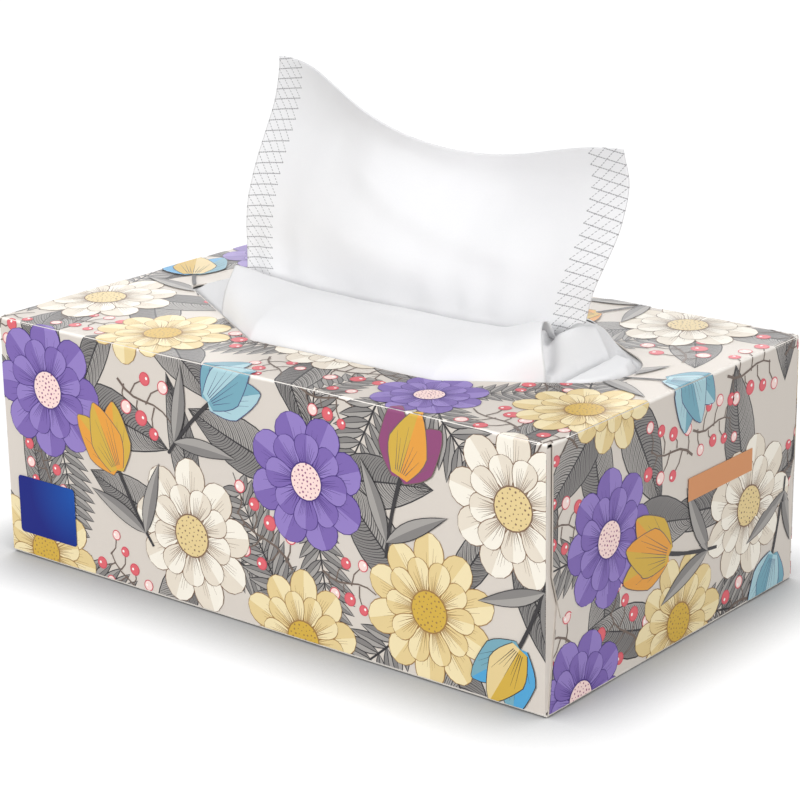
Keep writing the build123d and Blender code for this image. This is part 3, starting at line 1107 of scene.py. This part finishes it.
def pulledFoot(u):
    x = pulled["shift"] + (u - 0.5) * pulled["width"]
    inRoll = min(max(x, crown["left"]), crown["right"])
    fold = crownEdge + foldHeight(inRoll, riseAt(inRoll)) - crown["nipDrop"]
    return x, fold + crown["gap"] + crown["sheet"] + pulled["footLift"]


def aboveGusset(u, v):
    # beyond the roll's right end the sheet's foot stands on the gusset
    x, foot = pulledFoot(u)
    if u < 0.5:
        return v
    seat = gussetHeight(min(x, crown["right"]), crown["nip"]) + crown["sheet"] + pulled["footLift"]
    pastRoll = smooth((x - rollEnds(crown["nip"])[1]) / pulled["footBlend"] + 1)
    hidden = max(seat - foot, 0) * pastRoll / (topEdgeAt(u) - foot)
    return hidden + (1 - hidden) * v


def pulledPoint(u, v):
    p = pulled
    v = aboveGusset(u, v)
    x, foot = pulledFoot(u)
    z = foot + v * (topEdgeAt(u) - foot)
    middle = between((p["endShare"], 1), (1 - math.cos(2 * math.pi * u)) / 2)
    free = min(v / p["footCalm"], 1)
    lean = p["lean"] * (1 - math.cos(math.pi * v)) / 2
    curl = p["curl"] * between((v ** 3, smooth((v - p["curlFrom"]) / p["curlOver"])), p["curlMix"]) * middle
    wave = p["wave"] * v * math.cos(3 * math.pi * u)
    swell = smooth((v - p["bellyFrom"]) / p["bellyRise"]) * (1 - smooth((v - p["bellyTop"]) / p["bellyFall"]))
    y = crown["nip"] + lean - curl + wave - p["belly"] * swell * middle
    y += free * (sum(ripple(x, z, *values) for values in p["ripples"]) - ridgeAt(u, v))
    sway, beat = p["gatherSway"]
    gathers = math.sin(2 * math.pi * (p["gatherCount"] * u + sway * math.sin(beat * u)))
    y += p["gathers"] * free * (1 - v) ** 3 * gathers
    bow = p["bowRight"] * math.sin(math.pi / 2 * min(v / p["bowOver"], 1) ** p["bowPower"])
    bow -= p["bowBack"] * smooth((v - p["bowBackFrom"]) / (1 - p["bowBackFrom"]))
    bow = bow * u ** 3 - p["bowLeft"] * (1 - u) ** 3 * math.sin(math.pi * v)
    return Vector((x + bow, y, z))


def pulledLengths(u, v):
    return (u * pulled["width"], aboveGusset(u, v) * (topEdgeAt(u) - tall - pulled["hidden"]))


sheetMaterial = tissueMaterial("tissueSheet", True)
plainTissue = tissueMaterial("tissuePlain", False)
pulledSheet = sheetPiece(
    "pulledSheet", pulled["columns"], pulled["rows"], crown["sheet"], pulledPoint, sheetMaterial, pulledLengths)
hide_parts("popup_tissue")


# the sheet over the roll; its cut ends stand away from the sheets below
roll = {
    "columns": 150, "rows": 120, "rearShort": 8.0, "rearOver": 0.4, "edgeCalm": 5.0,
    "ripples": ((0.35, 1.0, 0.12, 0.4), (1.0, 5.0, 0.05, 0.4)),  # stretch, seed, scale and size
    "flare": 2.2, "flareLeft": 1.0, "flareReach": 16.0, "flareOut": 0.6, "looseFoot": 0.25, "looseFold": 0.2,
}


def rollPoint(u, v):
    w = v * 2 - 1
    inner = between((crown["left"], crown["right"]), u)
    left, right = rollEnds(crownPoint(inner, w, 0, riseAt(inner)).y if w < 0 else 0)
    right -= roll["rearShort"] * smooth(w / roll["rearOver"])
    x = between((left, right), u)
    rise = riseAt(min(max(x, crown["left"]), crown["right"]))
    point = crownPoint(x, w, crown["gap"] + crown["sheet"] / 2, rise)
    calm = smooth(roll["edgeCalm"] * min(v, 1 - v))
    point.z += calm * sum(ripple(x * stretch, point.y, *values) for stretch, *values in roll["ripples"])
    if w < 0:
        nearRight = smooth(1 - (right - x) / roll["flareReach"]) * roll["flare"]
        nearLeft = smooth(1 - (x - left) / roll["flareReach"]) * roll["flareLeft"]
        loose = smooth((1 + w) / roll["looseFoot"]) * smooth(-w / roll["looseFold"])
        point.z += loose * (nearRight + nearLeft)
        point.y -= loose * roll["flareOut"] * nearRight
    return point


rollSheet = sheetPiece("rollSheet", roll["columns"], roll["rows"], crown["sheet"], rollPoint, plainTissue)
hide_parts("next_tissue")


# the interfolded block, and the crown that closes the mouth; lengths in mm
stack = {
    "headroom": 7.0, "round": 4.0, "roundSteps": 5, "columns": 240, "rows": 70, "skirt": 4.0,
    "ripple": (2.0, 0.09, 0.3), "rippleEdge": 8.0,
}


def stackPoint(x, w):
    # w runs from -1 at the mouth's front edge to 1 at its rear edge
    point = crownPoint(x, w, 0.0, riseAt(x))
    left, right = rollEnds(w * crownHalfAt(x))
    beyond = max(left - x, x - right) + gusset["tuck"]
    if beyond > 0:
        # behind the fold the rear roll runs on smoothly into the gusset
        rear = crownPoint(x, w, 0.0, riseAt(min(max(x, left), right)))
        kept = smooth(w / gusset["blendFrom"]) * (1 - smooth(beyond / gusset["fadeOut"]))
        y = w * (mouthHalfAt(x) + gusset["under"])
        point = Vector((x, y, gussetHeight(x, y))).lerp(rear, kept)
    point.z += ripple(x, point.y, *stack["ripple"]) * min(1, stack["rippleEdge"] * (1 - abs(w)) / 2)
    return point


def makeStack():
    low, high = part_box("tissue_stack")
    head = boxHeight - (blank["board"] + stack["headroom"]) * mm
    bm = bmesh.new()
    made = bmesh.ops.create_cube(bm, size=1.0)
    size = Vector((high.x - low.x, high.y - low.y, head - low.z))
    middle = Vector(((low.x + high.x) / 2, (low.y + high.y) / 2, (head + low.z) / 2))
    matrix = Matrix.Translation(middle) @ Matrix.Diagonal((*size, 1))
    bmesh.ops.transform(bm, matrix=matrix, verts=made["verts"])
    upper = [
        edge for edge in bm.edges
        if all(v.co.z > middle.z for v in edge.verts) and abs(edge.verts[0].co.x - edge.verts[1].co.x) > size.x / 2]
    bmesh.ops.bevel(
        bm, geom=upper, offset=stack["round"] * mm, offset_type="OFFSET", segments=stack["roundSteps"], profile=0.5,
        affect="EDGES", material=-1)
    grid = bmesh.ops.create_grid(bm, x_segments=stack["columns"], y_segments=stack["rows"], size=0.5)
    for vert in grid["verts"]:
        vert.co = stackPoint(between((crownLeft, crownRight), vert.co.x + 0.5), vert.co.y * 2) * mm
    rim = [edge for edge in bm.edges if edge.is_boundary]
    skirt = bmesh.ops.extrude_edge_only(bm, edges=rim)
    for item in skirt["geom"]:
        if isinstance(item, bmesh.types.BMVert):
            item.co.z = head - stack["skirt"] * mm
    for face in bm.faces:
        face.smooth = True
    bmesh.ops.recalc_face_normals(bm, faces=bm.faces)
    piece = addPiece("tissueStack", bm, [plainTissue])
    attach(piece, "root")
    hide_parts("tissue_stack")


makeStack()
print("tissues laid in the mouth")

# floor, light and camera
stageSettings = {
    "floor": 6.0, "floorDrop": 0.0002, "floorTone": 0.25, "floorLift": 0.82, "floorRoughness": 0.9,
    # contact and contactPower shape the painted contact shadow on the floor
    "contact": 0.03, "contactPower": 2.0, "world": 0.27, "aim": (0.0, 0.0, 0.06),
    "lamps": {  # place, power and size
        "keyLight": ((-0.45, -1.62, 0.72), 22.5, 1.0),
        "fillLight": ((1.5, -0.6, 0.55), 19.5, 1.2),
        "topLight": ((0.0, 0.15, 1.8), 9.0, 1.2),
        "rearLight": ((-0.9, 1.5, 0.8), 13.0, 1.4),
    },
}


def shownPlainly(tree):
    # 1 where the background is seen straight, in gloss or through glass
    path = tree.nodes.new("ShaderNodeLightPath").outputs
    indirect = mathNode(tree, "MAXIMUM", path["Is Glossy Ray"], path["Is Transmission Ray"])
    return mathNode(tree, "MAXIMUM", path["Is Camera Ray"], indirect)


def floorMaterial():
    # white to the camera; close to the box its glow is dimmed by ambient occlusion, a painted contact shadow, and
    # it darkens in the box's cast shadow
    material = bpy.data.materials.new("paleFloor")
    material.use_nodes = True
    tree = material.node_tree
    shader = tree.nodes["Principled BSDF"]
    shader.inputs["Base Color"].default_value = (*[stageSettings["floorTone"]] * 3, 1)
    shader.inputs["Roughness"].default_value = stageSettings["floorRoughness"]
    shader.inputs["Specular IOR Level"].default_value = 0.0
    shader.inputs["Emission Color"].default_value = (1, 1, 1, 1)
    # painted contact shadow: ambient occlusion cuts the floor's glow close to the box
    nearby = tree.nodes.new("ShaderNodeAmbientOcclusion")
    nearby.inputs["Distance"].default_value = stageSettings["contact"]
    unshaded = mathNode(tree, "POWER", nearby.outputs["AO"], stageSettings["contactPower"])
    glow = mathNode(tree, "MULTIPLY", shownPlainly(tree), stageSettings["floorLift"])
    tree.links.new(mathNode(tree, "MULTIPLY", glow, unshaded), shader.inputs["Emission Strength"])
    return material


def makeStage():
    bm = bmesh.new()
    bmesh.ops.create_grid(bm, x_segments=1, y_segments=1, size=stageSettings["floor"] / 2)
    floor = addPiece("floor", bm, [floorMaterial()])
    floor.location.z = -stageSettings["floorDrop"]
    world = bpy.data.worlds.new("studio")
    bpy.context.scene.world = world
    world.use_nodes = True
    tree, dim = world.node_tree, stageSettings["world"]
    background = tree.nodes["Background"]
    background.inputs["Color"].default_value = (1, 1, 1, 1)
    strength = mathNode(tree, "MULTIPLY_ADD", shownPlainly(tree), 1.0 - dim, dim)
    tree.links.new(strength, background.inputs["Strength"])


def addLamp(name, place, power, size):
    light = bpy.data.lights.new(name, "AREA")
    light.energy, light.size = power, size
    lamp = bpy.data.objects.new(name, light)
    bpy.context.collection.objects.link(lamp)
    lamp.location = place
    towards = Vector(stageSettings["aim"]) - Vector(place)
    lamp.rotation_euler = towards.to_track_quat("-Z", "Y").to_euler()


makeStage()
for lampName, lampSettings in stageSettings["lamps"].items():
    addLamp(lampName, *lampSettings)

view = {
    "azimuth": 39.28, "elevation": 17.51, "roll": -0.84, "place": (0.4751, -0.5768, 0.2918),
    "lens": 110.0, "sensor": 36.0, "near": 0.01,
}


def addCamera():
    az, el, turn = (math.radians(view[key]) for key in ("azimuth", "elevation", "roll"))
    back = Vector((math.sin(az) * math.cos(el), -math.cos(az) * math.cos(el), math.sin(el)))
    right = (-back).cross(Vector((0, 0, 1))).normalized()
    up = right.cross(-back)
    tilt = Matrix.Rotation(turn, 3, back)
    right, up = tilt @ right, tilt @ up
    data = bpy.data.cameras.new("camera")
    data.lens, data.sensor_width, data.clip_start = view["lens"], view["sensor"], view["near"]
    camera = bpy.data.objects.new("camera", data)
    bpy.context.collection.objects.link(camera)
    axes = Matrix((right, up, back)).transposed()
    camera.matrix_world = Matrix.Translation(view["place"]) @ axes.to_4x4()
    bpy.context.scene.camera = camera


addCamera()
bpy.context.scene.view_settings.view_transform = "Standard"
print("scene ready")
